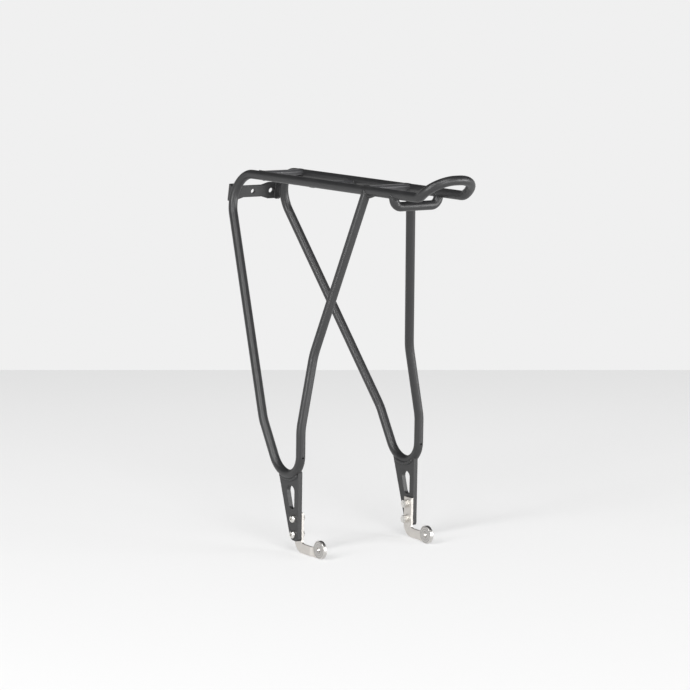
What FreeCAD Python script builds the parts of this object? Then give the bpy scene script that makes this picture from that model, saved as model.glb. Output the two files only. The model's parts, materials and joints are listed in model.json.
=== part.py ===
"""Rear rack for a bicycle: a bent tube frame with a narrow deck, two feet with eyelets and a front bracket.

Millimetres. +Y is the bicycle's forward direction, +X its right side, +Z up.
The origin lies midway between the two frame eyelets, on their common axis.
"""

import FreeCAD, Part
import os
from math import cos, radians, sin, tan
import Sketcher
from FreeCAD import Placement, Rotation, Vector

doc = FreeCAD.newDocument("RearRack")

# ---------------------------------------------------------------- driving sizes

SIZES = {
    # tubes
    "tube_diameter": 10.0,
    "tube_wall": 1.8,
    "tail_rod_diameter": 10.0,
    # deck
    "rail_half_spacing": 28.5,
    "rail_height": 381.3,
    "rail_front_y": 238.9,
    "tail_start_y": -107.6,
    "tail_length": 31.6,
    "tail_angle": 36.5,
    "front_bend_radius": 29.3,
    "tail_rise_radius": 15.3,
    "tail_loop_radius": 26.0,
    # side frames
    "foot_half_spacing": 78.0,
    "knee_height": 126.0,
    "knee_radius": 60.0,
    "shoulder_set_back": 8.6,
    "shoulder_drop": 41.0,
    "shoulder_radius": 26.5,
    "foot_front_y": 69.1,
    "foot_joint_y": 51.6,
    "foot_bend_height": 73.9,
    "foot_front_radius": 31.0,
    "foot_rear_radius": 23.4,
    "stay_lower_y": 28.0,
    "stay_kink_height": 204.4,
    "stay_kink_radius": 60.0,
    "stay_top_y": -15.9,
    "weep_hole_height": 95.6,
    "weep_hole_diameter": 2.2,
    # deck bars
    "bar_width": 12.0,
    "bar_height": 6.4,
    "bar_edge_radius": 2.6,
    "bar_top_below_rail_top": 0.3,
    "bar_end_inset": 1.0,
    "middle_bar_drop": 3.9,
    "front_bar_set_back": 51.2,
    "rear_bar_ahead_of_stay": 3.1,
    # tail rod
    "tail_rod_ahead_of_tail": 43.8,
    "tail_rod_drop": 13.0,
    "tail_rod_radius": 9.0,
    # front bracket
    "bracket_ahead_of_rail": 7.8,
    "bracket_drop": 23.3,
    "bracket_lean": 10.0,
    "bracket_thickness": 3.0,
    "bracket_flange_length": 10.0,
    "bracket_corner_radius": 6.0,
    "bracket_end_height": 18.6,
    "bracket_waist_height": 13.2,
    "bracket_waist_half_length": 12.0,
    "bracket_flare_length": 9.0,
    "bracket_bend_radius": 4.0,
    "bracket_centre_hole": 5.3,
    "bracket_outer_hole": 6.0,
    "bracket_hole_spacing": 24.5,
    # foot plates
    "plate_thickness": 5.0,
    "plate_inset": 1.6,
    "plate_rear_y": 30.2,
    "plate_bottom_height": 3.5,
    "plate_bottom_length": 14.0,
    "plate_front_rise": 2.6,
    "plate_web_rise": 8.6,
    "plate_heel_rise": 4.3,
    "plate_toe_radius": 8.0,
    "plate_heel_radius": 3.5,
    "window_bottom": 37.5,
    "window_top": 62.5,
    "window_margin": 7.5,
    "window_lower_width": 9.0,
    "window_upper_width": 16.6,
    "window_upper_radius": 6.0,
    "window_lower_radius": 3.2,
    # axle brackets and eyelet bosses
    "strap_thickness": 2.5,
    "strap_width": 13.5,
    "strap_top": 34.5,
    "arm_top": 1.0,
    "arm_bottom": -9.0,
    "arm_offset": 1.3,
    "arm_offset_length": 3.5,
    "arm_offset_gap": 0.8,
    "strap_outer_radius": 14.0,
    "strap_inner_radius": 3.0,
    "boss_diameter": 19.5,
    "boss_thickness": 4.5,
    "boss_bore": 5.3,
    "boss_edge_chamfer": 0.5,
    # fasteners
    "screw_diameter": 5.0,
    "screw_end_beyond_nut": 0.5,
    "screw_head_diameter": 8.4,
    "screw_head_height": 3.3,
    "screw_head_rounding": 2.4,
    "screw_socket_width": 3.0,
    "screw_socket_depth": 2.0,
    "screw_hole_clearance": 0.3,
    "screw_margin": 8.8,
    "screw_upper_height": 27.2,
    "screw_lower_height": 10.1,
    "nut_width": 8.0,
    "nut_height": 4.7,
    "nut_thread_clearance": 0.05,
}

sheet = doc.addObject("Spreadsheet::Sheet", "Sizes")
for row, (alias, number) in enumerate(SIZES.items(), start=1):
    sheet.set(f"A{row}", alias)
    sheet.set(f"B{row}", str(number))
    sheet.setAlias(f"B{row}", alias)
doc.recompute()


def size(alias):
    """The number that the sheet holds under this name."""
    return float(getattr(sheet, alias))


def sheet_formula(text):
    """The same formula as other objects write it, with each size's name led by the sheet's."""
    words = []
    word = ""
    for letter in text + " ":
        if letter.isalnum() or letter == "_":
            word += letter
            continue
        words.append("Sizes." + word if word in SIZES else word)
        words.append(letter)
        word = ""
    return "".join(words).strip()


def number_of(formula):
    """The value of a formula in the sheet's names."""
    result = sheet.evalExpression(sheet_formula(formula))
    return float(getattr(result, "Value", result))


# ---------------------------------------------------------------- drawing helpers


def bind(item, **formulas):
    """Ties properties of an object to formulas in the sheet's names."""
    for name, formula in formulas.items():
        item.setExpression(name, sheet_formula(formula))


def new_body(name):
    return doc.addObject("PartDesign::Body", name)


def new_sketch(body, role, name):
    """A sketch on one of the body's own origin planes."""
    sketch = body.newObject("Sketcher::SketchObject", name)
    plane = [feature for feature in body.Origin.OriginFeatures if feature.Role == role][0]
    sketch.AttachmentSupport = [(plane, "")]
    sketch.MapMode = "FlatFace"
    return sketch


def pin_point(sketch, geometry, point, formulas):
    """Holds one point of a sketch at two formulas, measured from the sketch's origin."""
    for kind, formula in zip(("DistanceX", "DistanceY"), formulas):
        index = sketch.addConstraint(Sketcher.Constraint(kind, geometry, point, number_of(formula)))
        sketch.setExpression(f"Constraints[{index}]", sheet_formula(formula))


def draw_outline(sketch, corners):
    """A closed outline of straight lines through corners given as pairs of formulas."""
    places = [Vector(number_of(across), number_of(up), 0) for across, up in corners]
    first = sketch.GeometryCount
    count = len(corners)
    for index in range(count):
        sketch.addGeometry(Part.LineSegment(places[index], places[(index + 1) % count]), False)
    for index in range(count):
        following = first + (index + 1) % count
        sketch.addConstraint(Sketcher.Constraint("Coincident", first + index, 2, following, 1))
    for index in range(count):
        pin_point(sketch, first + index, 1, corners[index])


def draw_circle(sketch, diameter, centre=("0", "0")):
    """A circle whose diameter and centre are formulas."""
    middle = Vector(number_of(centre[0]), number_of(centre[1]), 0)
    circle = Part.Circle(middle, Vector(0, 0, 1), number_of(diameter) / 2)
    geometry = sketch.addGeometry(circle, False)
    index = sketch.addConstraint(Sketcher.Constraint("Diameter", geometry, number_of(diameter)))
    sketch.setExpression(f"Constraints[{index}]", sheet_formula(diameter))
    pin_point(sketch, geometry, 3, centre)


def pad(body, sketch, length, name, midplane=False):
    feature = body.newObject("PartDesign::Pad", name)
    feature.Profile = sketch
    feature.Midplane = midplane
    bind(feature, Length=length)
    doc.recompute()
    return feature


def pocket_through(body, sketch, name):
    """Cuts the sketch right through the body, both ways from the sketch's plane."""
    feature = body.newObject("PartDesign::Pocket", name)
    feature.Profile = sketch
    feature.Type = 1
    feature.Midplane = True
    doc.recompute()
    return feature


def pocket_blind(body, sketch, depth, name, reverse):
    feature = body.newObject("PartDesign::Pocket", name)
    feature.Profile = sketch
    feature.Reversed = reverse
    bind(feature, Length=depth)
    doc.recompute()
    return feature


def edges_near(shape, places, tolerance=0.05):
    """The names of the straight edges whose line passes through any of these places."""
    names = []
    for index, edge in enumerate(shape.Edges, start=1):
        if edge.Curve.TypeId != "Part::GeomLine":
            continue
        for place in places:
            if edge.Curve.projectPoint(place).distanceToPoint(place) < tolerance:
                names.append(f"Edge{index}")
                break
    return names


def round_edges(body, base, names, radius, label):
    feature = body.newObject("PartDesign::Fillet", label)
    feature.Base = (base, names)
    bind(feature, Radius=radius)
    doc.recompute()
    return feature


def corners_across(axis, corners):
    """Places of outline corners, for finding the edges that run along the given axis there."""
    places = []
    for across, up in corners:
        first = number_of(across)
        second = number_of(up)
        places.append(Vector(0, first, second) if axis == "X" else Vector(first, 0, second))
    return places


def edges_along(shape, axis, places):
    """The names of the edges parallel to an axis that pass through any of these places."""
    direction = Vector(1, 0, 0) if axis == "X" else Vector(0, 1, 0)
    names = []
    for name in edges_near(shape, places):
        edge = shape.getElement(name)
        if abs(edge.tangentAt(edge.FirstParameter).dot(direction)) > 0.999:
            names.append(name)
    return names


def cut(label, base, tools):
    """The base with each tool taken away in turn. The last cut carries the label."""
    for number, tool in enumerate(tools, start=1):
        result = doc.addObject("Part::Cut", f"{label}_cut_{number}")
        result.Base = base
        result.Tool = tool
        base = result
    base.Label = label
    doc.recompute()
    return base


# ---------------------------------------------------------------- tubes


def rounded_path(name, corners, radii):
    """Straight runs through the corners, joined by arcs. A radius shrinks where its run is too short."""
    edges = []
    start = corners[0]
    for before, corner, after, radius in zip(corners, corners[1:], corners[2:], radii):
        inward = (before - corner).normalize()
        outward = (after - corner).normalize()
        half_angle = inward.getAngle(outward) / 2
        longest = 0.999 * min((start - corner).Length, (after - corner).Length)
        reach = min(radius / tan(half_angle), longest)
        radius = reach * tan(half_angle)
        entry = corner + inward * reach
        leave = corner + outward * reach
        bisector = (inward + outward).normalize()
        middle = corner + bisector * (radius / sin(half_angle) - radius)
        edges.append(Part.LineSegment(start, entry).toShape())
        edges.append(Part.Arc(entry, middle, leave).toShape())
        start = leave
    edges.append(Part.LineSegment(start, corners[-1]).toShape())
    path = doc.addObject("Part::Feature", name)
    path.Shape = Part.Wire(edges)
    return path


def swept_rod(name, path, diameter, start, direction):
    """A round solid swept along a path that starts at a point, heading in a direction."""
    ring = doc.addObject("Part::Circle", f"{name}_section")
    bind(ring, Radius=f"({diameter}) / 2")
    ring.Placement = Placement(start, Rotation(Vector(0, 0, 1), direction))
    sweep = doc.addObject("Part::Sweep", name)
    sweep.Sections = [ring]
    sweep.Spine = (path, [f"Edge{index + 1}" for index in range(len(path.Shape.Edges))])
    sweep.Solid = True
    sweep.Frenet = False
    doc.recompute()
    return sweep


def flared(side, y, height):
    """A point on a side frame, which leans out from the rail to the knee and is upright below it."""
    drop = size("rail_height") - height
    full_drop = size("rail_height") - size("knee_height")
    share = min(1.0, drop / full_drop)
    spread = size("foot_half_spacing") - size("rail_half_spacing")
    return Vector(side * (size("rail_half_spacing") + spread * share), y, height)


def shoulder_y_and_height():
    """Where the front leg's line meets the short run that leads back up to the rail."""
    return number_of("rail_front_y - shoulder_set_back"), number_of("rail_height - shoulder_drop")


def leg_y(height):
    """How far forward the straight front leg is at a height."""
    upper_y, upper_height = shoulder_y_and_height()
    share = (height - size("foot_bend_height")) / (upper_height - size("foot_bend_height"))
    return size("foot_front_y") + (upper_y - size("foot_front_y")) * share


def front_leg_corners(side):
    """Corners of one front leg, from the foot's joint up to the rail's front corner."""
    knee = size("knee_height")
    return [
        flared(side, size("foot_joint_y"), size("foot_bend_height")),
        flared(side, size("foot_front_y"), size("foot_bend_height")),
        flared(side, leg_y(knee), knee),
        flared(side, *shoulder_y_and_height()),
        flared(side, size("rail_front_y"), size("rail_height")),
    ]


def tail_corners(side):
    """Corners of one side of the tail loop: where the rail turns up, and the loop's own corner."""
    turn = Vector(side * size("rail_half_spacing"), size("tail_start_y"), size("rail_height"))
    slope = radians(size("tail_angle"))
    climb = Vector(0, -cos(slope), sin(slope)) * size("tail_length")
    return [turn, turn + climb]


def make_main_hoop():
    """One tube: left leg, left rail, tail loop, right rail, right leg. Returns tube and filled form."""
    corners = front_leg_corners(-1) + tail_corners(-1)
    corners += list(reversed(front_leg_corners(1) + tail_corners(1)))
    leg_radii = [size("foot_front_radius"), size("knee_radius"), size("shoulder_radius")]
    half_radii = leg_radii + [size("front_bend_radius"), size("tail_rise_radius")]
    half_radii.append(size("tail_loop_radius"))
    path = rounded_path("hoop_path", corners, half_radii + list(reversed(half_radii)))
    start = corners[0]
    forward = Vector(0, 1, 0)
    filled = swept_rod("hoop_outside", path, "tube_diameter", start, forward)
    bore = swept_rod("hoop_bore", path, "tube_diameter - 2 * tube_wall", start, forward)
    cut("main_hoop", filled, [bore])
    return filled


def make_rear_stay(name, side, hoop):
    """One rear stay: out of the foot's joint, up past its kink and into the rail's underside."""
    kink = size("stay_kink_height")
    corners = [
        flared(side, size("foot_joint_y"), size("foot_bend_height")),
        flared(side, size("stay_lower_y"), size("foot_bend_height")),
        flared(side, size("stay_lower_y"), size("knee_height")),
        flared(side, size("stay_lower_y"), kink),
        flared(side, size("stay_top_y"), size("rail_height")),
    ]
    radii = [size("foot_rear_radius"), size("knee_radius"), size("stay_kink_radius")]
    path = rounded_path(f"{name}_path", corners, radii)
    backward = Vector(0, -1, 0)
    filled = swept_rod(f"{name}_outside", path, "tube_diameter", corners[0], backward)
    bore = swept_rod(f"{name}_bore", path, "tube_diameter - 2 * tube_wall", corners[0], backward)
    drill = doc.addObject("Part::Cylinder", f"{name}_weep_hole")
    bind(drill, Radius="weep_hole_diameter / 2", Height="tube_diameter")
    weep = Vector(side * size("foot_half_spacing"), size("stay_lower_y"), size("weep_hole_height"))
    drill.Placement = Placement(weep, Rotation(Vector(0, 0, 1), backward))
    cut(name, filled, [bore, hoop, drill])
    return filled


def make_tail_rod(hoop):
    """The round rod that hangs as a shallow U under the tail, welded to both rails."""
    reach = size("rail_half_spacing")
    top = size("rail_height")
    low = top - size("tail_rod_drop")
    y = number_of("tail_start_y + tail_rod_ahead_of_tail")
    corners = [Vector(-reach, y, top), Vector(-reach, y, low), Vector(reach, y, low), Vector(reach, y, top)]
    path = rounded_path("tail_rod_path", corners, [size("tail_rod_radius")] * 2)
    rod = swept_rod("tail_rod_outside", path, "tail_rod_diameter", corners[0], Vector(0, 0, -1))
    cut("tail_rod", rod, [hoop])


# ---------------------------------------------------------------- deck


def make_deck_bar(name, y, drop, hoop):
    """A flat bar with rounded edges between the rails, its ends shaped to the tubes."""
    body = new_body(f"{name}_blank")
    sketch = new_sketch(body, "YZ_Plane", f"{name}_section")
    half = "bar_width / 2"
    top = f"rail_height + tube_diameter / 2 - bar_top_below_rail_top - {drop}"
    bottom = f"{top} - bar_height"
    corners = [
        (f"{y} - {half}", bottom),
        (f"{y} + {half}", bottom),
        (f"{y} + {half}", top),
        (f"{y} - {half}", top),
    ]
    draw_outline(sketch, corners)
    blank = pad(body, sketch, "2 * (rail_half_spacing - bar_end_inset)", f"{name}_length", midplane=True)
    names = edges_along(blank.Shape, "X", corners_across("X", corners))
    round_edges(body, blank, names, "bar_edge_radius", f"{name}_rounding")
    cut(name, body, [hoop])


def make_front_bracket(hoop):
    """The plate with three bolt holes ahead of the front legs, its bent ends shaped to the tubes."""
    body = new_body("front_bracket_blank")
    plan = new_sketch(body, "XY_Plane", "bracket_plan")
    lean_share = "bracket_drop / (rail_height - knee_height)"
    wide = f"(rail_half_spacing + (foot_half_spacing - rail_half_spacing) * {lean_share})"
    inner = f"({wide} - bracket_thickness)"
    back = "0 - bracket_flange_length"
    corners = [
        (f"0 - {wide}", back),
        (f"0 - {inner}", back),
        (f"0 - {inner}", "0 - bracket_thickness / 2"),
        (inner, "0 - bracket_thickness / 2"),
        (inner, back),
        (wide, back),
        (wide, "bracket_thickness / 2"),
        (f"0 - {wide}", "bracket_thickness / 2"),
    ]
    draw_outline(plan, corners)
    channel = pad(body, plan, "bracket_end_height", "bracket_blank", midplane=True)
    half = "bracket_end_height / 2"
    ends = edges_along(channel.Shape, "X", corners_across("X", [(back, half), (back, f"0 - {half}")]))
    channel = round_edges(body, channel, ends, "bracket_corner_radius", "bracket_flange_corners")
    uprights = [Vector(number_of(x), number_of(y), 0) for x, y in corners]
    inner_bends = edges_near(channel.Shape, uprights[2:4])
    rounded = round_edges(body, channel, inner_bends, "bracket_bend_radius - bracket_thickness",
                          "bracket_inner_bends")
    outer_bends = edges_near(rounded.Shape, uprights[6:8])
    round_edges(body, rounded, outer_bends, "bracket_bend_radius", "bracket_outer_bends")
    waist = new_sketch(body, "XZ_Plane", "bracket_waist")
    for sign in ("", "0 - "):
        draw_outline(waist, [
            ("0 - bracket_waist_half_length - bracket_flare_length", f"{sign}bracket_end_height"),
            ("0 - bracket_waist_half_length - bracket_flare_length", f"{sign}bracket_end_height / 2"),
            ("0 - bracket_waist_half_length", f"{sign}bracket_waist_height / 2"),
            ("bracket_waist_half_length", f"{sign}bracket_waist_height / 2"),
            ("bracket_waist_half_length + bracket_flare_length", f"{sign}bracket_end_height / 2"),
            ("bracket_waist_half_length + bracket_flare_length", f"{sign}bracket_end_height"),
        ])
    pocket_through(body, waist, "bracket_waist_cut")
    holes = new_sketch(body, "XZ_Plane", "bracket_holes")
    draw_circle(holes, "bracket_centre_hole")
    draw_circle(holes, "bracket_outer_hole", ("bracket_hole_spacing", "0"))
    draw_circle(holes, "bracket_outer_hole", ("0 - bracket_hole_spacing", "0"))
    pocket_through(body, holes, "bracket_hole_cut")
    forward = number_of("rail_front_y + bracket_ahead_of_rail")
    place = Vector(0, forward, number_of("rail_height - bracket_drop"))
    body.Placement = Placement(place, Rotation(Vector(1, 0, 0), size("bracket_lean")))
    cut("front_bracket", body, [hoop])


# ---------------------------------------------------------------- feet

SCREW_Y = "(plate_rear_y + screw_margin)"


def plate_middle_x():
    """How far the middle of a foot plate's thickness is from the rack's middle plane."""
    return size("foot_half_spacing") - size("plate_inset")


def make_foot_plate(name, side, tubes):
    """The flat foot under one side frame, with its window and two screw holes."""
    body = new_body(f"{name}_blank")
    outline = new_sketch(body, "YZ_Plane", f"{name}_outline")
    corners = [
        ("plate_rear_y", "plate_bottom_height"),
        ("plate_rear_y + plate_bottom_length", "plate_bottom_height"),
        ("foot_front_y", "foot_bend_height + plate_front_rise"),
        ("foot_joint_y", "foot_bend_height"),
        ("stay_lower_y + foot_rear_radius / 2", "foot_bend_height + 0.134 * foot_rear_radius"),
        ("stay_lower_y + tube_diameter / 2", "foot_bend_height + plate_web_rise"),
        ("plate_rear_y", "foot_bend_height + plate_heel_rise"),
    ]
    draw_outline(outline, corners)
    blank = pad(body, outline, "plate_thickness", f"{name}_blank_pad", midplane=True)
    places = corners_across("X", corners)
    heel = edges_along(blank.Shape, "X", places[0:1])
    rounded = round_edges(body, blank, heel, "plate_heel_radius", f"{name}_heel")
    toe = edges_along(rounded.Shape, "X", places[1:2])
    round_edges(body, rounded, toe, "plate_toe_radius", f"{name}_toe")
    window = new_sketch(body, "YZ_Plane", f"{name}_window")
    frame = [
        ("plate_rear_y + window_margin", "window_bottom"),
        ("plate_rear_y + window_margin + window_lower_width", "window_bottom"),
        ("plate_rear_y + window_margin + window_upper_width", "window_top"),
        ("plate_rear_y + window_margin", "window_top"),
    ]
    draw_outline(window, frame)
    opening = pocket_through(body, window, f"{name}_window_cut")
    places = corners_across("X", frame)
    lower = edges_along(opening.Shape, "X", places[0:2])
    softened = round_edges(body, opening, lower, "window_lower_radius", f"{name}_window_lower")
    upper = edges_along(softened.Shape, "X", places[2:4])
    round_edges(body, softened, upper, "window_upper_radius", f"{name}_window_upper")
    drill_screw_holes(body, name)
    body.Placement.Base = Vector(side * plate_middle_x(), 0, 0)
    cut(name, body, tubes)


def drill_screw_holes(body, name):
    """The two screw holes that a foot plate and its axle bracket share."""
    holes = new_sketch(body, "YZ_Plane", f"{name}_screw_holes")
    for height in ("screw_upper_height", "screw_lower_height"):
        draw_circle(holes, "screw_diameter + screw_hole_clearance", (SCREW_Y, height))
    pocket_through(body, holes, f"{name}_screw_hole_cut")


def strap_middle_x():
    """How far the middle of an axle bracket's thickness is from the rack's middle plane."""
    return plate_middle_x() - size("plate_thickness") / 2 - size("strap_thickness") / 2


def boss_middle_x():
    """The boss is flush with the outer face of the arm's end, which is offset towards the wheel."""
    return strap_middle_x() + size("strap_thickness") / 2 - size("arm_offset") - size("boss_thickness") / 2


def make_axle_bracket(name, side):
    """The stainless L of one foot: a strap, a round corner, and an arm offset inward to the boss."""
    body = new_body(f"{name}_side_form")
    outline = new_sketch(body, "YZ_Plane", f"{name}_outline")
    front = "plate_rear_y + strap_width"
    rear = "plate_rear_y"
    corners = [
        (rear, "strap_top"),
        (rear, "arm_top"),
        ("0", "arm_top"),
        ("0", "arm_bottom"),
        (front, "arm_bottom"),
        (front, "strap_top"),
    ]
    draw_outline(outline, corners)
    blank = pad(body, outline, "4 * strap_thickness + 2 * arm_offset", f"{name}_pad", midplane=True)
    places = corners_across("X", corners)
    inside = edges_along(blank.Shape, "X", places[1:2])
    rounded = round_edges(body, blank, inside, "strap_inner_radius", f"{name}_inner_corner")
    outside = edges_along(rounded.Shape, "X", places[4:5])
    round_edges(body, rounded, outside, "strap_outer_radius", f"{name}_outer_corner")
    seat = new_sketch(body, "YZ_Plane", f"{name}_boss_seat")
    draw_circle(seat, "boss_diameter")
    pocket_through(body, seat, f"{name}_boss_seat_cut")
    drill_screw_holes(body, name)
    bent = doc.addObject("Part::Common", name)
    bent.Base = body
    bent.Tool = make_bent_strip(name, side)
    bent.Placement.Base = Vector(side * strap_middle_x(), 0, 0)
    doc.recompute()


def make_bent_strip(name, side):
    """The bracket's sheet seen from above: straight, stepped towards the wheel near the boss."""
    body = new_body(f"{name}_sheet_form")
    plan = new_sketch(body, "XY_Plane", f"{name}_plan")
    outer = f"{side} * strap_thickness / 2"
    inner = f"0 - {side} * strap_thickness / 2"
    step = f"{side} * arm_offset"
    step_rear = "boss_diameter / 2 + arm_offset_gap"
    step_front = f"{step_rear} + arm_offset_length"
    front = "plate_rear_y + 2 * strap_width"
    draw_outline(plan, [
        (f"{outer} - {step}", "0"),
        (f"{outer} - {step}", step_rear),
        (outer, step_front),
        (outer, front),
        (inner, front),
        (inner, step_front),
        (f"{inner} - {step}", step_rear),
        (f"{inner} - {step}", "0"),
    ])
    pad(body, plan, "4 * strap_top", f"{name}_sheet", midplane=True)
    return body


def make_eyelet_boss(name, side):
    """The thick round washer at the arm's end that takes the frame eyelet's bolt."""
    body = new_body(name)
    face = new_sketch(body, "YZ_Plane", f"{name}_face")
    draw_circle(face, "boss_diameter")
    draw_circle(face, "boss_bore")
    disc = pad(body, face, "boss_thickness", f"{name}_disc", midplane=True)
    rims = []
    for index, edge in enumerate(disc.Shape.Edges, start=1):
        is_round = edge.Curve.TypeId == "Part::GeomCircle"
        if is_round and edge.Curve.Radius > size("boss_bore"):
            rims.append(f"Edge{index}")
    bevel = body.newObject("PartDesign::Chamfer", f"{name}_bevel")
    bevel.Base = (disc, rims)
    bind(bevel, Size="boss_edge_chamfer")
    doc.recompute()
    body.Label = name
    body.Placement.Base = Vector(side * boss_middle_x(), 0, 0)


# ---------------------------------------------------------------- fasteners


def make_screw(name, side, height):
    """A domed socket screw, head outside, its shank through plate, axle bracket and nut."""
    body = new_body(name)
    reach = "plate_thickness + strap_thickness + nut_height + screw_end_beyond_nut"
    section = new_sketch(body, "XZ_Plane", f"{name}_section")
    draw_outline(section, [
        ("0 - screw_head_height", "0"),
        ("0 - screw_head_height", "screw_head_diameter / 2"),
        ("0", "screw_head_diameter / 2"),
        ("0", "screw_diameter / 2"),
        (reach, "screw_diameter / 2"),
        (reach, "0"),
    ])
    turned = body.newObject("PartDesign::Revolution", f"{name}_turned")
    turned.Profile = section
    turned.ReferenceAxis = (section, ["H_Axis"])
    turned.Angle = 360
    doc.recompute()
    rim = []
    for index, edge in enumerate(turned.Shape.Edges, start=1):
        if edge.Curve.TypeId == "Part::GeomCircle" and edge.Curve.Center.x < -size("screw_head_height") / 2:
            rim.append(f"Edge{index}")
    round_edges(body, turned, rim, "screw_head_rounding", f"{name}_crown")
    socket = new_sketch(body, "YZ_Plane", f"{name}_socket")
    draw_hexagon(socket, "screw_socket_width")
    socket.AttachmentOffset = Placement(Vector(0, 0, -size("screw_head_height")), Rotation())
    pocket_blind(body, socket, "screw_socket_depth", f"{name}_socket_cut", reverse=True)
    body.Label = name
    outer_face = plate_middle_x() + size("plate_thickness") / 2
    turn = Rotation(Vector(0, 0, 1), 0 if side < 0 else 180)
    place = Vector(side * outer_face, number_of(SCREW_Y), size(height))
    body.Placement = Placement(place, turn)


def draw_hexagon(sketch, width):
    """A regular hexagon about the sketch's origin, with flats above and below."""
    half = f"({width}) / 2"
    flat_end = f"({width}) / 2 * 0.57735027"
    tip = f"({width}) * 0.57735027"
    draw_outline(sketch, [
        (tip, "0"),
        (flat_end, half),
        (f"0 - {flat_end}", half),
        (f"0 - {tip}", "0"),
        (f"0 - {flat_end}", f"0 - {half}"),
        (flat_end, f"0 - {half}"),
    ])


def make_nut(name, side, height):
    """A hexagon nut on the inner face of the axle bracket."""
    body = new_body(name)
    face = new_sketch(body, "YZ_Plane", f"{name}_face")
    draw_hexagon(face, "nut_width")
    draw_circle(face, "screw_diameter + 2 * nut_thread_clearance")
    pad(body, face, "nut_height", f"{name}_pad", midplane=True)
    body.Label = name
    reach = strap_middle_x() - size("strap_thickness") / 2 - size("nut_height") / 2
    body.Placement.Base = Vector(side * reach, number_of(SCREW_Y), size(height))


# ---------------------------------------------------------------- assembly

SIDES = {"left": -1, "right": 1}

hoop = make_main_hoop()
for word, side in SIDES.items():
    stay = make_rear_stay(f"{word}_rear_stay", side, hoop)
    make_foot_plate(f"{word}_foot_plate", side, [hoop, stay])
    make_axle_bracket(f"{word}_axle_bracket", side)
    make_eyelet_boss(f"{word}_eyelet_boss", side)
    for place in ("upper", "lower"):
        make_screw(f"{word}_{place}_screw", side, f"screw_{place}_height")
        make_nut(f"{word}_{place}_nut", side, f"screw_{place}_height")
front_bar_y = "(rail_front_y - front_bar_set_back)"
rear_bar_y = "(stay_top_y + rear_bar_ahead_of_stay)"
middle_bar_y = f"({front_bar_y} + {rear_bar_y}) / 2"
make_deck_bar("front_deck_bar", front_bar_y, "0", hoop)
make_deck_bar("middle_deck_bar", middle_bar_y, "middle_bar_drop", hoop)
make_deck_bar("rear_deck_bar", rear_bar_y, "0", hoop)
make_tail_rod(hoop)
make_front_bracket(hoop)
doc.recompute()

# ---------------------------------------------------------------- checks and files

NODES = ["main_hoop", "front_bracket", "tail_rod"]
NODES += [f"{place}_deck_bar" for place in ("front", "middle", "rear")]
for word in SIDES:
    NODES += [f"{word}_{piece}" for piece in ("rear_stay", "foot_plate", "axle_bracket", "eyelet_boss")]
    for place in ("upper", "lower"):
        NODES += [f"{word}_{place}_screw", f"{word}_{place}_nut"]

for item in doc.Objects:
    if "Invalid" in item.State or "Error" in item.State:
        raise RuntimeError(f"{item.Label} failed to build: {item.State}")

os.makedirs("parts", exist_ok=True)
for node in NODES:
    shape = doc.getObjectsByLabel(node)[0].Shape
    if shape.isNull() or not shape.isValid() or len(shape.Solids) != 1:
        raise RuntimeError(f"{node} isn't one valid solid")
    shape.exportStep(f"parts/{node}.step")
    print(f"{node}: {shape.Volume:.1f} mm3")
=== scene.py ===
import json
import math

import bmesh
import bpy
from mathutils import Matrix, Vector


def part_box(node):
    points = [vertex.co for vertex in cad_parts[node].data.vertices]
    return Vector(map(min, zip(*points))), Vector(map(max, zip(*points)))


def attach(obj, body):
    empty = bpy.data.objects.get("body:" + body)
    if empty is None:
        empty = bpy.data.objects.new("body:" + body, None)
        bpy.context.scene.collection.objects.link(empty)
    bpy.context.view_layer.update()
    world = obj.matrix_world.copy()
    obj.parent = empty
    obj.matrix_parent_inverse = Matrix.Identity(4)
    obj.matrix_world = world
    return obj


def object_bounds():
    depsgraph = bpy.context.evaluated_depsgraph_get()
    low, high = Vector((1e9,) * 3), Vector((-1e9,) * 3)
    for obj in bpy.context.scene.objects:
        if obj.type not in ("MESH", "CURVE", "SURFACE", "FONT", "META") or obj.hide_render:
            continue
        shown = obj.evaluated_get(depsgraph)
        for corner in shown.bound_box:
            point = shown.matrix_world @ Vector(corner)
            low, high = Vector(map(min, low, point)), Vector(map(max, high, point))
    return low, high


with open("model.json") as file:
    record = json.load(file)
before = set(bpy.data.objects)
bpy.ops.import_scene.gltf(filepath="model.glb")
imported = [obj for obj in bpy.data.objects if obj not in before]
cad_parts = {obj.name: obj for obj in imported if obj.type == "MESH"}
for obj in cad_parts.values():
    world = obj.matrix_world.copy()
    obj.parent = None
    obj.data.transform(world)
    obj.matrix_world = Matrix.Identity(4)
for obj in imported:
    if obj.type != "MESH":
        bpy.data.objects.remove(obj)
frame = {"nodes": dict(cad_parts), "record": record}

NODES = frame["nodes"]
low_before, high_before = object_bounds()

# Sizes of the rack in metres.
TUBE_RADIUS = 0.005
ROD_RADIUS = 0.005
RAIL_X = 0.0285
RAIL_HEIGHT = 0.3813
STAY_TOP_Y = -0.0159
STAY_KINK = Vector((0.0, 0.028, 0.2044))
FOOT_X = 0.078
KNEE_HEIGHT = 0.126
TAIL_ROD_Y = -0.0638
FRONT_CURVE = (0.0516, 0.1049, 0.031)
REAR_CURVE = (0.0514, 0.0973, 0.0234)
PLATE_X = 0.0764
PLATE_THICKNESS = 0.005

SIDES = {"left": -1.0, "right": 1.0}

# Radii of the weld beads in metres.
DECK_BAR_BEAD = 0.00085
STAY_TOP_BEAD = 0.0011
TAIL_ROD_BEAD = 0.0009
FOOT_BEAD = 0.0024
BRACKET_BEAD = 0.0009
STAY_FLARE = 0.0032
FRONT_BAR_FILLET = 0.003

# How far over the skin of a foot's bend the foot beads sit, and how far inside the plate's face.
FOOT_BEAD_RISE = 0.0003
FOOT_BEAD_INSET = 0.0007

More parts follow.
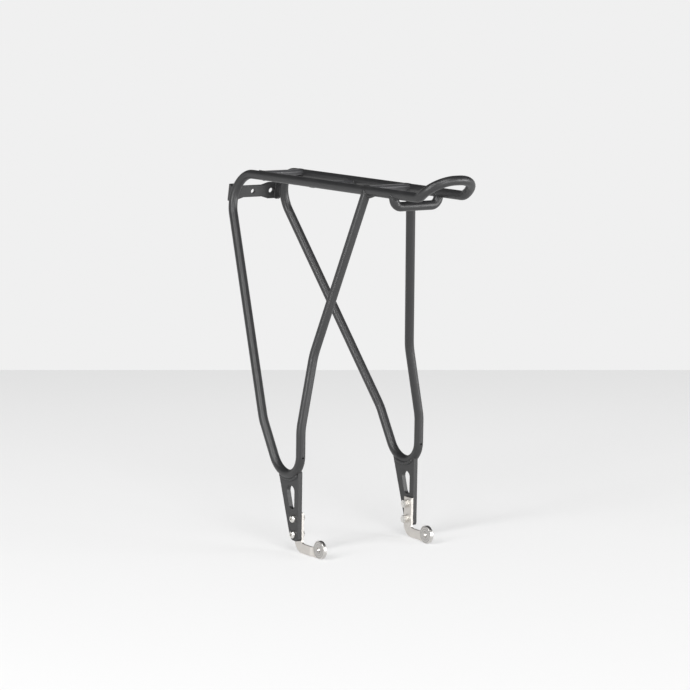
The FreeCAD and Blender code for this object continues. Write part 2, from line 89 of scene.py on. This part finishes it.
# How far the bead points round a deck bar's end stay above and below the rail's axis, so that
# no bead shows under the rail or over it.
BAR_BEAD_LOWEST = 0.0042
BAR_BEAD_HIGHEST = 0.0047
BAR_SQUARENESS = 5

# The floor's turn and the middle of its far edge.
FLOOR_TURN = math.radians(29.75)
FLOOR_FAR_EDGE = (0.6728, 1.0139)

CAMERA_PLACE = (-1.58536, -2.18971, 0.62386)
CAMERA_HEADING = math.radians(-35.172)
CAMERA_TILT = math.radians(90 - 8.626)
CAMERA_ROLL = math.radians(0.866)
CAMERA_LENS = 134.235

# Every lamp points at the middle of the rack.
RACK_MIDDLE = (0.0, 0.05, 0.2)


# ---------------------------------------------------------------- finishes


class Value:
    """A number that changes over a surface, with plain arithmetic that adds its Math nodes."""

    def __init__(self, finish, socket):
        self.finish = finish
        self.socket = socket

    def combine(self, operation, first, second=0.5):
        sockets = {0: first, 1: second}
        return self.finish.add("ShaderNodeMath", {"operation": operation}, sockets)[0]

    def __add__(self, other):
        return self.combine("ADD", self, other)

    __radd__ = __add__

    def __sub__(self, other):
        return self.combine("SUBTRACT", self, other)

    def __rsub__(self, other):
        return self.combine("SUBTRACT", other, self)

    def __mul__(self, other):
        return self.combine("MULTIPLY", self, other)

    __rmul__ = __mul__

    def __pow__(self, other):
        return self.combine("POWER", self, other)

    def wave(self):
        return self.combine("SINE", self)

    def above(self, start, end):
        """Nought up to start, one past end, and smooth between them."""
        settings = {"interpolation_type": "SMOOTHSTEP"}
        sockets = {"Value": self, "From Min": start, "From Max": end}
        return self.finish.add("ShaderNodeMapRange", settings, sockets)["Result"]


class Outputs:
    """A node's outputs by name or number."""

    def __init__(self, finish, node):
        self.finish = finish
        self.node = node

    def __getitem__(self, name):
        return Value(self.finish, self.node.outputs[name])


class Finish:
    """One surface finish, built from nodes round a Principled shader."""

    def __init__(self, name, constants):
        self.material = bpy.data.materials.new(name)
        self.material.use_nodes = True
        self.tree = self.material.node_tree
        self.shader = self.tree.nodes["Principled BSDF"]
        for socket, value in constants.items():
            self.shader.inputs[socket].default_value = value
        self.place = self.add("ShaderNodeTexCoord")["Object"]

    def add(self, kind, settings=None, sockets=None):
        """Adds a node of a type: its settings first, then the values or links of its sockets."""
        node = self.tree.nodes.new(kind)
        for name, value in (settings or {}).items():
            setattr(node, name, value)
        for name, value in (sockets or {}).items():
            if isinstance(value, Value):
                self.tree.links.new(value.socket, node.inputs[name])
            else:
                node.inputs[name].default_value = value
        return Outputs(self, node)

    def feed(self, socket, value):
        """Links a value that changes over the surface to one of the shader's sockets."""
        self.tree.links.new(value.socket, self.shader.inputs[socket])

    def noise(self, size, detail, roughness=0.5, stretch=None):
        """Noise whose blobs are about the given size in metres, from nought to one."""
        place = self.place
        if stretch:
            sockets = {"Vector": place, "Scale": stretch}
            place = self.add("ShaderNodeMapping", None, sockets)["Vector"]
        sockets = {"Vector": place, "Scale": 1.0 / size, "Detail": detail, "Roughness": roughness}
        return self.add("ShaderNodeTexNoise", None, sockets)["Fac"]

    def between(self, share, first, second):
        """A colour that runs from the first to the second with the share."""
        settings = {"data_type": "RGBA"}
        sockets = {0: share, 6: (*first, 1.0), 7: (*second, 1.0)}
        return self.add("ShaderNodeMix", settings, sockets)[2]

    def tinted(self, share, under, over):
        """A second colour laid over a colour that already changes."""
        settings = {"data_type": "RGBA"}
        return self.add("ShaderNodeMix", settings, {0: share, 6: under, 7: (*over, 1.0)})[2]

    def bump(self, height, depth, strength, under=None):
        """A normal from a height between nought and one, and the depth in metres of one."""
        sockets = {"Height": height, "Distance": depth, "Strength": strength}
        if under:
            sockets["Normal"] = under
        return self.add("ShaderNodeBump", None, sockets)["Normal"]

    def upward(self):
        """How far the surface faces up: one on top, nought on a wall."""
        normal = self.add("ShaderNodeNewGeometry")["Normal"]
        return self.add("ShaderNodeSeparateXYZ", None, {0: normal})["Z"]


def powder_coat(name, shade, gloss):
    """Satin black powder coat: fine grain over soft orange peel, with faint haze and dust."""
    finish = Finish(name, {"IOR": 1.5, "Specular IOR Level": 0.65})
    haze = finish.noise(0.055, detail=3.0)
    mottle = finish.noise(0.006, detail=3.0, roughness=0.6)
    grain = finish.noise(0.0007, detail=2.0, roughness=0.6)
    peel = finish.noise(0.0026, detail=1.0)
    flecks = finish.noise(0.0013, detail=1.0).above(0.69, 0.76)
    dark = tuple(channel * 0.86 for channel in shade)
    pale = tuple(channel * 1.22 for channel in shade)
    color = finish.between(haze * 0.6 + mottle * 0.4, dark, pale)
    dusty = finish.noise(0.02, detail=4.0, roughness=0.65).above(0.42, 0.8)
    dust = finish.upward().above(0.35, 1.0) * dusty * 0.05
    color = finish.tinted(dust, color, (0.32, 0.31, 0.29))
    color = finish.tinted(flecks * 0.12, color, (0.12, 0.12, 0.125))
    finish.feed("Base Color", color)
    finish.feed("Roughness", gloss + 0.07 * haze + 0.06 * mottle - 0.05 * flecks + 0.5 * dust)
    soft = finish.bump(peel, 0.00004, 0.55)
    finish.feed("Normal", finish.bump(grain, 0.00002, 0.5, under=soft))
    return finish.material


def stainless_sheet(name):
    """Plain stainless sheet with a blasted skin, fine rolling lines and a few handling marks."""
    finish = Finish(name, {"Metallic": 1.0, "Specular IOR Level": 0.5})
    cloud = finish.noise(0.009, detail=3.0)
    blast = finish.noise(0.00045, detail=2.0, roughness=0.7)
    lines = finish.noise(0.0012, detail=2.0, stretch=(1.0, 1.0, 0.06))
    scuff = finish.noise(0.0022, detail=4.0, roughness=0.7).above(0.62, 0.7)
    color = finish.between(cloud * 0.7 + blast * 0.3, (0.62, 0.59, 0.555), (0.74, 0.715, 0.68))
    color = finish.tinted(scuff * 0.35, color, (0.5, 0.48, 0.45))
    finish.feed("Base Color", color)
    finish.feed("Roughness", 0.34 + 0.1 * cloud + 0.1 * blast + 0.06 * scuff)
    rolled = finish.bump(lines, 0.00001, 0.5)
    finish.feed("Normal", finish.bump(blast, 0.000016, 0.6, under=rolled))
    return finish.material


def turned_steel(name):
    """Lathe-turned stainless: rings about the eyelets' axis, coarse steps with fine tool marks."""
    finish = Finish(name, {"Metallic": 1.0, "Specular IOR Level": 0.5})
    place = finish.add("ShaderNodeSeparateXYZ", None, {0: finish.place})
    out = (place["Y"] ** 2.0 + place["Z"] ** 2.0) ** 0.5
    wander = finish.noise(0.004, detail=2.0)
    fine = (out * (2 * math.pi / 0.00042) + wander * 0.8).wave() * 0.5 + 0.5
    coarse = (out * (2 * math.pi / 0.0023) + 1.4).wave() * 0.5 + 0.5
    stain = finish.noise(0.005, detail=3.0)
    tone = coarse * 0.55 + fine * 0.25 + stain * 0.2
    finish.feed("Base Color", finish.between(tone, (0.3, 0.29, 0.28), (0.72, 0.705, 0.68)))
    finish.feed("Roughness", 0.4 - 0.1 * coarse + 0.08 * stain)
    stepped = finish.bump(coarse, 0.00012, 0.9)
    finish.feed("Normal", finish.bump(fine, 0.000012, 0.7, under=stepped))
    return finish.material


def bright_steel(name):
    """Bright stainless fasteners: smooth, with hairline marks and slight clouding."""
    finish = Finish(name, {"Metallic": 1.0, "Specular IOR Level": 0.5})
    cloud = finish.noise(0.003, detail=3.0)
    hair = finish.noise(0.0005, detail=2.0, stretch=(0.08, 1.0, 1.0))
    finish.feed("Base Color", finish.between(cloud, (0.68, 0.665, 0.635), (0.8, 0.79, 0.765)))
    finish.feed("Roughness", 0.2 + 0.1 * cloud + 0.08 * hair)
    finish.feed("Normal", finish.bump(hair, 0.000006, 0.5))
    return finish.material


FINISHES = {
    "black_tube": powder_coat("black_tube_coat", (0.0155, 0.0155, 0.0163), 0.35),
    # The deck bars' coat is the same black powder coat made about three times lighter: a painted
    # highlight for the light their top faces catch.
    "black_bar": powder_coat("black_bar_coat_painted_highlight", (0.046, 0.046, 0.049), 0.3),
    "black_plate": powder_coat("black_plate_coat", (0.0175, 0.0175, 0.0182), 0.4),
    "stainless_sheet": stainless_sheet("stainless_sheet_skin"),
    "stainless_turned": turned_steel("stainless_turned_rings"),
    "stainless_fastener": bright_steel("stainless_fastener_skin"),
}

for part in frame["record"]["subparts"]:
    node = NODES[part["node"]]
    node.data.materials.clear()
    node.data.materials.append(FINISHES[part["material_slot"]])


# ---------------------------------------------------------------- weld beads


def arc(centre, radius, start, end, x, count=26):
    """Points on an arc in a side plane. Angles are from straight down, positive forward."""
    points = []
    for step in range(count + 1):
        angle = start + (end - start) * step / count
        y = centre[0] + radius * math.sin(angle)
        z = centre[1] - radius * math.cos(angle)
        points.append(Vector((x, y, z)))
    return points


def side_lean(side):
    """A rear stay's top on the rail's axis, and the direction up to it from the stay's kink."""
    share = (RAIL_HEIGHT - STAY_KINK.z) / (RAIL_HEIGHT - KNEE_HEIGHT)
    kink_x = RAIL_X + (FOOT_X - RAIL_X) * share
    top = Vector((side * RAIL_X, STAY_TOP_Y, RAIL_HEIGHT))
    return top, (top - Vector((side * kink_x, STAY_KINK.y, STAY_KINK.z))).normalized()


def saddle(top, upward, radius, count=44):
    """The closed line where a round bar that rises to the rail's axis meets the rail's skin."""
    across = upward.cross(Vector((0, 1, 0))).normalized()
    along = across.cross(upward)
    points = []
    for step in range(count):
        turn = 2 * math.pi * step / count
        rim = radius * (across * math.cos(turn) + along * math.sin(turn))
        lengthwise = rim.y
        lean = upward.y
        first = 1 - lean * lean
        second = lengthwise * lean
        third = radius * radius - lengthwise * lengthwise - TUBE_RADIUS * TUBE_RADIUS
        down = (second - math.sqrt(max(0.0, second * second - first * third))) / first
        points.append(top + rim + upward * down)
    return points


def bar_end(node, side, count=48):
    """The closed line round a deck bar's end, lying on the rail's skin."""
    low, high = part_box(node)
    middle = [(a + b) / 2 for a, b in zip(low, high)]
    half_wide = (high[1] - low[1]) / 2
    half_high = (high[2] - low[2]) / 2
    points = []
    for step in range(count):
        turn = 2 * math.pi * step / count
        wide = abs(math.cos(turn)) / half_wide
        tall = abs(math.sin(turn)) / half_high
        reach = (wide**BAR_SQUARENESS + tall**BAR_SQUARENESS) ** (-1 / BAR_SQUARENESS)
        z = middle[2] + reach * math.sin(turn)
        z = max(z, RAIL_HEIGHT - BAR_BEAD_LOWEST)
        rise = min(BAR_BEAD_HIGHEST, z - RAIL_HEIGHT)
        x = RAIL_X - math.sqrt(TUBE_RADIUS**2 - rise**2)
        points.append(Vector((side * x, middle[1] + reach * math.cos(turn), z)))
    return points


def on_hoop(points, direction):
    """Moves points along a direction until they lie on the main hoop."""
    landed = []
    for point in points:
        hit, place, _, _ = NODES["main_hoop"].ray_cast(point, direction)
        if hit:
            landed.append(place)
    return landed


def weld(name, runs, girth=None):
    """Beads laid along runs of points, each run (points, bead radius, closed, ripples).

    girth turns the share of an open run's length into the share of the radius there.
    Without it the bead is even, with its open ends drawn in.
    """
    line = bpy.data.curves.new(name, "CURVE")
    line.dimensions = "3D"
    line.bevel_depth = 1.0
    line.bevel_resolution = 3
    line.use_fill_caps = True
    for points, radius, closed, ripples in runs:
        spline = line.splines.new("NURBS")
        spline.points.add(len(points) - 1)
        for index, (knot, point) in enumerate(zip(spline.points, points)):
            swell = min(0.16, 0.00014 / radius)
            ripple = 1 + swell * math.sin(2 * math.pi * ripples * index / len(points))
            end = min(index, len(points) - 1 - index)
            taper = 1.0 if closed else min(1.0, 0.45 + 0.3 * end)
            if girth:
                taper = girth(index / (len(points) - 1))
            knot.co = (*point, 1.0)
            knot.radius = radius * ripple * taper
        spline.order_u = 3
        spline.use_cyclic_u = closed
        spline.use_endpoint_u = not closed
        spline.resolution_u = 3
    holder = bpy.data.objects.new(name + "_line", line)
    bpy.context.scene.collection.objects.link(holder)
    graph = bpy.context.evaluated_depsgraph_get()
    mesh = bpy.data.meshes.new_from_object(holder.evaluated_get(graph))
    bpy.data.objects.remove(holder)
    form = bmesh.new()
    form.from_mesh(mesh)
    bmesh.ops.remove_doubles(form, verts=form.verts, dist=1e-7)
    bmesh.ops.recalc_face_normals(form, faces=form.faces)
    for face in form.faces:
        face.smooth = True
    form.to_mesh(mesh)
    form.free()
    piece = bpy.data.objects.new(name, mesh)
    bpy.context.scene.collection.objects.link(piece)
    piece.data.materials.clear()
    piece.data.materials.append(FINISHES["black_tube"])
    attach(piece, "root")


def bracket_seam(side):
    """The line where the front bracket's bent end meets the front leg, seen from behind."""
    low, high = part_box("front_bracket")
    points = []
    for step in range(15):
        z = low[2] + 0.0035 + (high[2] - low[2] - 0.006) * step / 14
        points.append(Vector((side * (high[0] - 0.0032), high[1], z)))
    return on_hoop(points, Vector((0, -1, 0)))


def fading(share):
    """Full at the start of a bead, and gone into the tube at its end."""
    return 0.04 + 0.96 * (1 - share) ** 0.6


def spindle(share):
    """Fullest at the middle of a bead, and gone at both ends."""
    return 0.04 + 0.96 * math.sin(math.pi * share) ** 0.7


def straight(start, end, count=12):
    """Points evenly spaced from start to end."""
    return [start.lerp(end, index / (count - 1)) for index in range(count)]


bar_runs = []
for bar in ("front_deck_bar", "middle_deck_bar", "rear_deck_bar"):
    for side in SIDES.values():
        bar_runs.append((bar_end(bar, side), DECK_BAR_BEAD, True, 11))
weld("deck_bar_welds", bar_runs)

stay_runs = []
rod_runs = []
foot_runs = []
for side in SIDES.values():
    top, upward = side_lean(side)
    stay_runs.append((saddle(top, upward, TUBE_RADIUS), STAY_TOP_BEAD, True, 13))
    hanger = Vector((side * RAIL_X, TAIL_ROD_Y, RAIL_HEIGHT))
    rod_runs.append((saddle(hanger, Vector((0, 0, 1)), ROD_RADIUS), TAIL_ROD_BEAD, True, 11))
    for face in (-1, 1):
        plate_face = PLATE_X + face * PLATE_THICKNESS / 2
        seat = math.sqrt(TUBE_RADIUS**2 - (FOOT_X - plate_face) ** 2) + FOOT_BEAD_RISE
        x = plate_face - face * FOOT_BEAD_INSET
        forward = arc(FRONT_CURVE, FRONT_CURVE[2] + seat, 0.02, math.radians(23), side * x)
        rearward = arc(REAR_CURVE, REAR_CURVE[2] + seat, 0.0, math.radians(-40), side * x)
        points = list(reversed(rearward)) + forward
        foot_runs.append((points, FOOT_BEAD, False, 13))
weld("stay_top_welds", stay_runs)
weld("tail_rod_welds", rod_runs)
weld("foot_welds", foot_runs)
seams = [(bracket_seam(side), BRACKET_BEAD, False, 5) for side in SIDES.values()]
weld("bracket_welds", seams)

low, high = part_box("front_deck_bar")
front_bar_y = (low[1] + high[1]) / 2
half = Vector((0, 0.0062, 0))
for word, side in SIDES.items():
    inside_stay = Vector((side * RAIL_X, STAY_TOP_Y - 0.001, RAIL_HEIGHT - 0.0056))
    under_rail = Vector((side * RAIL_X, STAY_TOP_Y - 0.0175, RAIL_HEIGHT - 0.0034))
    flare = [(straight(inside_stay, under_rail), STAY_FLARE, False, 0)]
    weld(f"{word}_stay_top_flare", flare, girth=fading)
    under_bar = Vector((side * (RAIL_X - 0.0058), front_bar_y, RAIL_HEIGHT - 0.0035))
    fillet = [(straight(under_bar - half, under_bar + half), FRONT_BAR_FILLET, False, 0)]
    weld(f"{word}_front_bar_fillet", fillet, girth=spindle)


# ---------------------------------------------------------------- floor, light and camera


def make_floor():
    """A wide pale floor whose far edge is the faint line behind the rack."""
    form = bmesh.new()
    bmesh.ops.create_grid(form, x_segments=24, y_segments=24, size=0.5)
    wide = Matrix.Diagonal((9.0, 6.0, 1.0, 1.0))
    bmesh.ops.transform(form, matrix=wide, verts=form.verts)
    bmesh.ops.translate(form, vec=(0.0, -3.0, 0.0), verts=form.verts)
    turn = Matrix.Rotation(-FLOOR_TURN, 4, "Z")
    bmesh.ops.transform(form, matrix=turn, verts=form.verts)
    far_edge = Vector((*FLOOR_FAR_EDGE, low_before[2]))
    bmesh.ops.translate(form, vec=far_edge, verts=form.verts)
    mesh = bpy.data.meshes.new("floor")
    form.to_mesh(mesh)
    form.free()
    floor = bpy.data.objects.new("floor", mesh)
    bpy.context.scene.collection.objects.link(floor)
    finish = Finish("floor_paper", {
        "Roughness": 0.8,
        "Specular IOR Level": 0.0,
        "Emission Strength": 1.0,
    })
    turned = finish.add("ShaderNodeMapping", {"vector_type": "POINT"}, {
        "Vector": finish.place,
        "Rotation": (0.0, 0.0, FLOOR_TURN),
    })["Vector"]
    away = finish.add("ShaderNodeSeparateXYZ", None, {0: turned})["Y"]
    # The floor's base colour and glow run lighter towards its far edge and darker towards the
    # camera: a painted light falloff.
    painted_falloff = away.above(-0.9, 0.95)
    fleck = finish.noise(0.12, detail=3.0)
    color = finish.between(painted_falloff, (0.43, 0.43, 0.43), (0.47, 0.47, 0.47))
    finish.feed("Base Color", finish.tinted(fleck * 0.04, color, (0.5, 0.5, 0.5)))
    finish.feed("Emission Color", finish.between(painted_falloff, (0.38, 0.38, 0.38), (0.42, 0.42, 0.42)))
    floor.data.materials.append(finish.material)


def make_world():
    """A soft pale surround: plain white to the camera, dimmer overhead for what it lights."""
    world = bpy.data.worlds.new("studio")
    bpy.context.scene.world = world
    world.use_nodes = True
    nodes = world.node_tree.nodes
    links = world.node_tree.links
    nodes.clear()
    place = nodes.new("ShaderNodeTexCoord")
    parts = nodes.new("ShaderNodeSeparateXYZ")
    ramp = nodes.new("ShaderNodeValToRGB")
    ramp.color_ramp.interpolation = "EASE"
    ramp.color_ramp.elements[0].position = 0.12
    ramp.color_ramp.elements[0].color = (0.75, 0.75, 0.75, 1)
    ramp.color_ramp.elements[1].position = 0.34
    ramp.color_ramp.elements[1].color = (0.05, 0.05, 0.052, 1)
    gloss = nodes.new("ShaderNodeBackground")
    room = nodes.new("ShaderNodeBackground")
    room.inputs["Color"].default_value = (0.35, 0.35, 0.35, 1)
    paper = nodes.new("ShaderNodeBackground")
    paper.inputs["Color"].default_value = (0.871, 0.871, 0.871, 1)
    path = nodes.new("ShaderNodeLightPath")
    shine = nodes.new("ShaderNodeMixShader")
    mix = nodes.new("ShaderNodeMixShader")
    output = nodes.new("ShaderNodeOutputWorld")
    links.new(place.outputs["Generated"], parts.inputs[0])
    links.new(parts.outputs["Z"], ramp.inputs[0])
    links.new(ramp.outputs[0], gloss.inputs["Color"])
    links.new(path.outputs["Is Glossy Ray"], shine.inputs[0])
    links.new(room.outputs[0], shine.inputs[1])
    links.new(gloss.outputs[0], shine.inputs[2])
    links.new(path.outputs["Is Camera Ray"], mix.inputs[0])
    links.new(shine.outputs[0], mix.inputs[1])
    links.new(paper.outputs[0], mix.inputs[2])
    links.new(mix.outputs[0], output.inputs[0])


def softbox(name, place, wide, high, power):
    """A rectangular lamp at a place, pointed at the rack."""
    light = bpy.data.lights.new(name, "AREA")
    light.shape = "RECTANGLE"
    light.size = wide
    light.size_y = high
    light.energy = power
    holder = bpy.data.objects.new(name, light)
    bpy.context.scene.collection.objects.link(holder)
    holder.location = place
    aim = Vector(RACK_MIDDLE) - Vector(place)
    holder.rotation_euler = aim.to_track_quat("-Z", "Y").to_euler()


def make_camera():
    """A long lens from behind the rack's left side, a little above it."""
    data = bpy.data.cameras.new("camera")
    data.sensor_width = 36.0
    data.lens = CAMERA_LENS
    data.clip_start = 0.1
    data.clip_end = 50.0
    camera = bpy.data.objects.new("camera", data)
    bpy.context.scene.collection.objects.link(camera)
    heading = Matrix.Rotation(CAMERA_HEADING, 4, "Z")
    tilt = Matrix.Rotation(CAMERA_TILT, 4, "X")
    roll = Matrix.Rotation(CAMERA_ROLL, 4, "Z")
    camera.matrix_world = Matrix.Translation(CAMERA_PLACE) @ heading @ tilt @ roll
    bpy.context.scene.camera = camera


make_floor()
make_world()
softbox("right_softbox", (1.9, -1.9, 0.6), 1.3, 1.3, 42.0)
softbox("left_softbox", (-2.2, -0.3, 1.3), 0.5, 2.3, 44.0)
softbox("rear_softbox", (-0.3, -3.0, 0.8), 1.5, 1.3, 36.0)
softbox("high_softbox", (-0.8, -1.7, 2.3), 1.3, 1.3, 34.0)
make_camera()

bpy.context.scene.view_settings.view_transform = "Standard"
